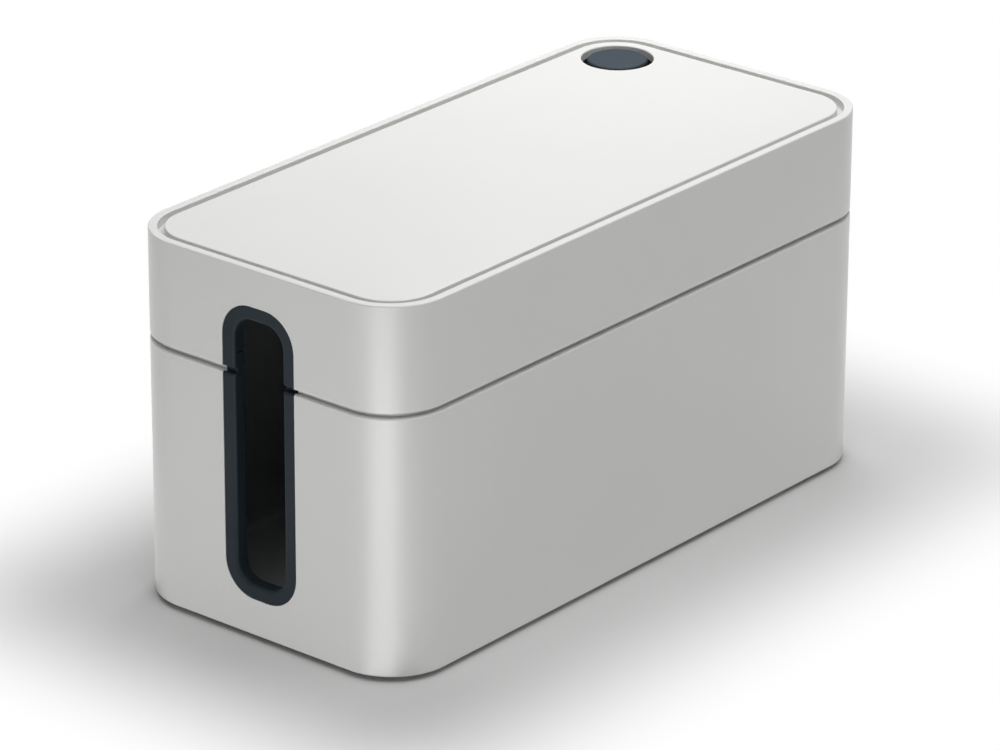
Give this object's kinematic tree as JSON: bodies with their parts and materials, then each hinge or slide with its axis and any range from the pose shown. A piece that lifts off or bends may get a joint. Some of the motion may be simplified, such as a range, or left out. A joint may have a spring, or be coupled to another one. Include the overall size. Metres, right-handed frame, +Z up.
{
  "type": "cable management box",
  "caption": "Free-standing box that hides a power strip and its leads, with a lift-off lid, a soft-trimmed slot in each end wall and a plugged round outlet in a corner of the lid.",
  "frame": {"origin": "middle of the footprint, on the surface that the feet stand on", "axes": "+X along the box, towards the end that has the lid's outlet beside it; +Y across the box, towards the side with the outlet; +Z up, out of the lid's top panel"},
  "size_m": [0.246, 0.116, 0.128],
  "materials": {
    "shell": "satin",
    "top_panel": "satin",
    "trim": "matte",
    "sleeve": "matte",
    "plug": "matte",
    "foot": "matte"
  },
  "bodies": {
    "base": {"base_tub": "shell", "port_trim_left_lower": "trim", "port_trim_right_lower": "trim", "foot_front_left": "foot", "foot_front_right": "foot", "foot_back_left": "foot", "foot_back_right": "foot"},
    "lid": {"lid_shell": "shell", "lid_top_panel": "top_panel", "outlet_sleeve": "sleeve", "port_trim_left_upper": "trim", "port_trim_right_upper": "trim"},
    "plug": {"outlet_plug": "plug"}
  },
  "joints": [
    {"name": "lid_lift", "type": "slide", "parent": "base", "child": "lid", "axis": [0, 0, 1], "range_m": [0, 0.08]},
    {"name": "plug_lift", "type": "slide", "parent": "lid", "child": "plug", "axis": [0, 0, 1], "range_m": [0, 0.03]}
  ]
}
